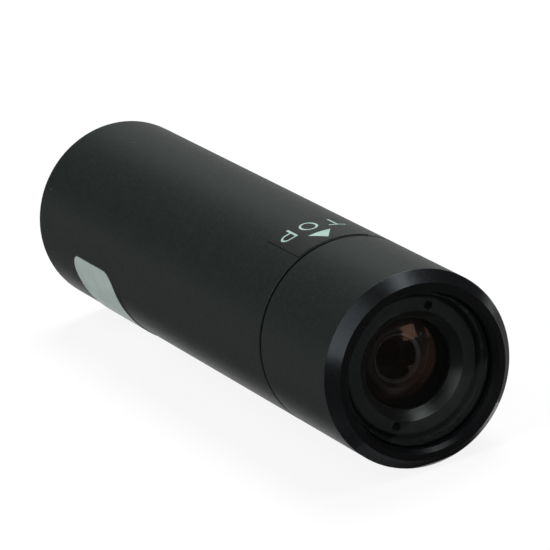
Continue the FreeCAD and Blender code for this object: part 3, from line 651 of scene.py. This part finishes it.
FILM_LOW, FILM_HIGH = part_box("top_label")
FILM_UNDERSIDE = TUBE_RADIUS + 0.01 * MM
FILM_RADIUS = TUBE_RADIUS + 0.06 * MM
FILM_HALF_ANGLE = math.radians(22.6)
FILM_STEPS = 32
WELD = 1e-7
MARK_RADIUS = TUBE_RADIUS + 0.075 * MM
LETTER_BACK = FRONT + 23.47 * MM
LETTER_HEIGHT = 2.45 * MM
LETTER_WIDTH = 1.85 * MM
LETTER_PITCH = 2.66 * MM
STROKE = 0.25 * MM
BOWL_RADIUS = LETTER_HEIGHT * 0.27
BOWL_REACH = 0.7
STRAIGHT_STEPS = 10
SHORT_STEPS = 4
ROUND_STEPS = 48
BEND_STEPS = 16
TRIANGLE_BASE = FRONT + 19.70 * MM
TRIANGLE_APEX = FRONT + 17.50 * MM
TRIANGLE_HALF = 1.24 * MM
TRIANGLE_STEPS = 12
TRIANGLE_TAPER = 0.999


def on_tube(across, along, radius):
    """A point on the tube: across runs round from the top towards -X and along is its place on the axis."""
    angle = across / TUBE_RADIUS
    return Vector((-radius * math.sin(angle), along, radius * math.cos(angle)))


def ribbon(shape, path, origin, closed=False):
    """A printed stroke along a path of (across, up) points from a letter's lower middle."""
    count = len(path)
    rows = []
    for i, point in enumerate(path):
        before = path[i - 1] if i or closed else point
        after = path[(i + 1) % count] if i + 1 < count or closed else point
        run = Vector((after[0] - before[0], after[1] - before[1])).normalized()
        side = Vector((-run.y, run.x)) * STROKE / 2
        rows.append([
            on_tube(origin + point[0] + side.x * k, LETTER_BACK - point[1] - side.y * k, MARK_RADIUS)
            for k in (-1, 1)
        ])
    if closed:
        rows.append(rows[0])
    grid(shape, rows)


def straight(start, end, steps=STRAIGHT_STEPS):
    """Points along a straight stroke."""
    return [
        (start[0] + (end[0] - start[0]) * i / steps, start[1] + (end[1] - start[1]) * i / steps)
        for i in range(steps + 1)
    ]


def print_word(shape):
    """The word for the upper side, read from the rear."""
    half = (LETTER_WIDTH - STROKE) / 2
    low = STROKE / 2
    high = LETTER_HEIGHT - low
    ribbon(shape, straight((-half - low, high), (half + low, high)), -LETTER_PITCH)
    ribbon(shape, straight((0, 0), (0, high - low)), -LETTER_PITCH)
    turns = [2 * math.pi * i / ROUND_STEPS for i in range(ROUND_STEPS)]
    middle = LETTER_HEIGHT / 2
    oval = [(half * math.cos(a), middle + (middle - low) * math.sin(a)) for a in turns]
    ribbon(shape, oval, 0, closed=True)
    bends = [math.pi / 2 - math.pi * i / BEND_STEPS for i in range(BEND_STEPS + 1)]
    centre = (half * BOWL_REACH - BOWL_RADIUS, high - BOWL_RADIUS)
    bowl_low = centre[1] - BOWL_RADIUS
    ribbon(shape, straight((-half, 0), (-half, LETTER_HEIGHT)), LETTER_PITCH)
    ribbon(
        shape,
        straight((-half + low, high), (centre[0], high), SHORT_STEPS)
        + [(centre[0] + BOWL_RADIUS * math.cos(a), centre[1] + BOWL_RADIUS * math.sin(a)) for a in bends]
        + straight((centre[0], bowl_low), (-half + low, bowl_low), SHORT_STEPS),
        LETTER_PITCH,
    )


def shares(steps):
    """Even places from -1 to 1."""
    return [2 * k / steps - 1 for k in range(steps + 1)]


def print_triangle(shape):
    """A triangle that points to the front, with a tip that is just blunt."""
    rows = []
    for i in range(TRIANGLE_STEPS + 1):
        share = i / TRIANGLE_STEPS
        along = TRIANGLE_BASE + (TRIANGLE_APEX - TRIANGLE_BASE) * share
        side = TRIANGLE_HALF * (1 - share * TRIANGLE_TAPER)
        rows.append([on_tube(side * k, along, MARK_RADIUS) for k in shares(TRIANGLE_STEPS)])
    grid(shape, rows)


def build_mark(shape):
    """The mark's word and its triangle."""
    print_word(shape)
    print_triangle(shape)


def build_film(shape):
    """The dark film under the mark, a thin sheet with closed edges."""
    reach = FILM_HALF_ANGLE * TUBE_RADIUS
    loop = [
        (FILM_LOW.y, FILM_UNDERSIDE),
        (FILM_LOW.y, FILM_RADIUS),
        (FILM_HIGH.y, FILM_RADIUS),
        (FILM_HIGH.y, FILM_UNDERSIDE),
        (FILM_LOW.y, FILM_UNDERSIDE),
    ]
    grid(shape, [[on_tube(reach * k, along, radius) for k in shares(FILM_STEPS)] for along, radius in loop])
    bmesh.ops.remove_doubles(shape, verts=shape.verts, dist=WELD)
    bmesh.ops.holes_fill(shape, edges=[e for e in shape.edges if e.is_boundary])


top_film = mesh_piece("top_film", build_film, DARK_FILM, "housing")
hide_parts("top_label")
# The film's cut edges take the painted shade line.
second_finish(top_film, SHADED_FILM_EDGE, cut_edge)
mesh_piece("top_mark", build_mark, MARK_INK, "housing")


# Cap thread

THREAD_PITCH = 0.75 * MM
THREAD_TURNS = 4
THREAD_STEPS = 96
THREAD_FADE = 24
THREAD_RISE = 0.07 * MM
THREAD_SINK = 0.02 * MM
THREAD_HALF = THREAD_PITCH * 0.42
THREAD_START = FRONT + 18.0 * MM
SPIGOT_RADIUS = 8.5 * MM


def build_thread(shape):
    """A low triangular ridge wound on the cap's spigot, which fades out at both ends."""
    rows = []
    last = THREAD_TURNS * THREAD_STEPS
    for i in range(last + 1):
        turn = 2 * math.pi * i / THREAD_STEPS
        along = THREAD_START + THREAD_PITCH * i / THREAD_STEPS
        rise = THREAD_RISE * min(1, i / THREAD_FADE, (last - i) / THREAD_FADE)
        rows.append([
            Vector((radius * math.sin(turn), along + shift, radius * math.cos(turn)))
            for radius, shift in (
                (SPIGOT_RADIUS - THREAD_SINK, -THREAD_HALF),
                (SPIGOT_RADIUS + rise, 0),
                (SPIGOT_RADIUS - THREAD_SINK, THREAD_HALF),
            )
        ])
    grid(shape, rows)


mesh_piece("cap_thread", build_thread, TUBE_FINISH, "front_cap")


# Floor and cards

MATT_ROUGHNESS = 0.9
FLOOR_HALF = 4.0
FLOOR_GLOW = 0.88
FLOOR_TONES = (0.92, 0.94)
# Places on the floor in millimetres: across from the optical axis, then behind the front face
FAR = 4000
NEAR = -1
NEAR_LEFT = (-9.7, NEAR)
NEAR_RIGHT = (9.0, NEAR)
MOUTH_TIP = (7.8, -14.2)
FAR_RIGHT = (FAR, -2890)
UNDER_RIGHT = 12
UNDER_END = 10
LEFT_END = 300
RIGHT_END = 45
REAR_CORNER = (700, 900)
# Each card's tone and corners
CARDS = {
    "front_card": (0.040, (FAR_RIGHT, MOUTH_TIP, NEAR_LEFT, (-FAR, NEAR), (-FAR, -FAR), (FAR, -FAR))),
    "left_card": (0.16, (NEAR_LEFT, (NEAR_LEFT[0], LEFT_END), (-FAR, LEFT_END), (-FAR, NEAR))),
    "mouth_card": (0.15, (NEAR_LEFT, MOUTH_TIP, NEAR_RIGHT)),
    "under_card": (
        0.60,
        (NEAR_LEFT, (UNDER_RIGHT, NEAR), (UNDER_RIGHT, UNDER_END), (NEAR_LEFT[0], UNDER_END)),
    ),
    "right_card": (
        0.18,
        ((UNDER_RIGHT, NEAR), NEAR_RIGHT, MOUTH_TIP, FAR_RIGHT, (FAR, RIGHT_END), (UNDER_RIGHT, RIGHT_END)),
    ),
    "rear_card": (
        0.60,
        (
            (UNDER_RIGHT, RIGHT_END),
            (REAR_CORNER[0], RIGHT_END),
            REAR_CORNER,
            (UNDER_RIGHT, REAR_CORNER[1]),
        ),
    ),
}
# Where a card starts and ends to thin out, in millimetres behind the front face
CARD_FADE = {"under_card": (3.5, UNDER_END)}
CARD_LIFT = 0.3 * MM
CARD_DRIFT = 0.1


def stage_piece(name, corners, finish):
    """A flat piece of the studio, from its corners."""
    data = bpy.data.meshes.new(name)
    data.from_pydata(corners, [], [tuple(range(len(corners)))])
    data.materials.append(finish)
    made = new_object(name, data)
    return made


def matt(tree, shader, pattern, low, high):
    """A dull grey surface without gloss."""
    tree.links.new(two_tone(tree, pattern, (low,) * 3, (high,) * 3), shader.inputs["Base Color"])
    shader.inputs["Roughness"].default_value = MATT_ROUGHNESS
    shader.inputs["Specular IOR Level"].default_value = 0.0


def build_floor():
    """A plain white floor that keeps a faint shadow; its glow lights nothing."""
    made, tree, shader, where = new_material("floor_finish")
    made.cycles.emission_sampling = "NONE"
    matt(tree, shader, speckle(tree, where, scale=3, detail=2), *FLOOR_TONES)
    glow = add(tree, "ShaderNodeEmission", {"Strength": 1.0})
    ray = add(tree, "ShaderNodeLightPath").outputs
    direct = arithmetic(tree, "ADD", ray["Is Camera Ray"], ray["Is Glossy Ray"])
    seen = arithmetic(tree, "ADD", direct, ray["Is Transmission Ray"], use_clamp=True)
    show(tree, blend(tree, arithmetic(tree, "MULTIPLY", seen, FLOOR_GLOW), shader, glow))
    sides = ((-1, -1), (1, -1), (1, 1), (-1, 1))
    stage_piece("floor", [(x * FLOOR_HALF, y * FLOOR_HALF, cad_box[0].z) for x, y in sides], made)


def fade_out(tree, shader, where, start, end):
    """A card that thins out to nothing between two places behind the front face."""
    limits = {"From Min": FRONT + start * MM, "From Max": FRONT + end * MM}
    thin = add(tree, "ShaderNodeMapRange", limits)
    tree.links.new(along_axis(tree, where), thin.inputs["Value"])
    show(tree, blend(tree, thin.outputs["Result"], shader, add(tree, "ShaderNodeBsdfTransparent")))


def build_cards():
    """Dark cards on the floor that only reflections show, as a photographer's flags."""
    level = cad_box[0].z + CARD_LIFT
    for name, (tone, edge) in CARDS.items():
        made, tree, shader, where = new_material(name + "_finish")
        mottle = speckle(tree, where, scale=40)
        matt(tree, shader, mottle, tone * (1 - CARD_DRIFT), tone * (1 + CARD_DRIFT))
        if name in CARD_FADE:
            fade_out(tree, shader, where, *CARD_FADE[name])
        card = stage_piece(name, [(x * MM, FRONT + y * MM, level) for x, y in edge], made)
        card.visible_camera = False
        card.visible_diffuse = False
        card.visible_shadow = False
        card.visible_transmission = False


build_floor()
build_cards()


# Lights

ROOM_LEVEL = 0.05


def direction(azimuth, elevation):
    """A unit vector; azimuth turns from the front (-Y) towards +X, in degrees."""
    a, e = math.radians(azimuth), math.radians(elevation)
    return Vector((math.sin(a) * math.cos(e), -math.cos(a) * math.cos(e), math.sin(e)))


def softbox(name, azimuth, elevation, distance, width, height, radiance, tilt=0):
    """A rectangular light panel that faces the camera's front, turned by a tilt about its middle."""
    lamp = bpy.data.lights.new(name, "AREA")
    lamp.shape = "RECTANGLE"
    lamp.size, lamp.size_y = width, height
    lamp.energy = radiance * math.pi * width * height
    made = new_object(name, lamp)
    towards = direction(azimuth, elevation)
    turn = Quaternion((0, 0, 1), math.radians(tilt))
    made.location = Vector((0, FRONT, 0)) + towards * distance
    made.rotation_mode = "QUATERNION"
    made.rotation_quaternion = towards.to_track_quat("Z", "Y") @ turn
    made.visible_camera = False


def build_world(level):
    """A dim, even room."""
    world = bpy.data.worlds.new("room")
    world.use_nodes = True
    world.node_tree.nodes["Background"].inputs["Color"].default_value = (level, level, level, 1)
    bpy.context.scene.world = world


build_world(ROOM_LEVEL)
softbox("overhead", azimuth=134, elevation=61, distance=1.0, width=0.55, height=0.55, radiance=9.0)
softbox("rear_panel", azimuth=155, elevation=9, distance=1.3, width=0.70, height=0.55, radiance=0.30)
softbox("left_panel", azimuth=-79, elevation=44, distance=0.9, width=0.26, height=0.96, radiance=6.0)
softbox("front_overhead", azimuth=45, elevation=62, distance=1.0, width=0.35, height=0.35, radiance=6.0)
softbox(
    "right_window", azimuth=30, elevation=14, distance=1.0, width=0.31, height=0.26, radiance=1.5, tilt=-12
)
softbox(
    "side_window", azimuth=53.5, elevation=3.5, distance=1.0, width=0.12, height=0.21, radiance=0.8, tilt=-12
)


# Camera

VIEW_AZIMUTH = -24.4623
VIEW_ELEVATION = 14.0502
TUBE_ROLL = 11.5
VIEW_DISTANCE = 515.497 * MM
VIEW_RIGHT = -13.827 * MM
VIEW_UP = 9.118 * MM
CHAMFER_LENGTH = 1.32 * MM
LENS = 347.65
CLIP_NEAR = 0.01
CLIP_FAR = 20


def build_camera():
    """The camera stands where the photograph was taken from, rolled with the tube."""
    back = direction(VIEW_AZIMUTH, VIEW_ELEVATION)
    right = Vector((0, 0, 1)).cross(back).normalized()
    up = back.cross(right)
    pose = Matrix((right, up, back)).transposed().to_4x4()
    pose.translation = right * VIEW_RIGHT + up * VIEW_UP + back * VIEW_DISTANCE
    data = bpy.data.cameras.new("camera")
    data.lens = LENS
    data.clip_start, data.clip_end = CLIP_NEAR, CLIP_FAR
    made = new_object("camera", data)
    place = Matrix.Translation((0, FRONT + CHAMFER_LENGTH, 0))
    made.matrix_world = place @ Matrix.Rotation(math.radians(TUBE_ROLL), 4, "Y") @ pose
    bpy.context.scene.camera = made


build_camera()
bpy.context.scene.view_settings.view_transform = "Standard"
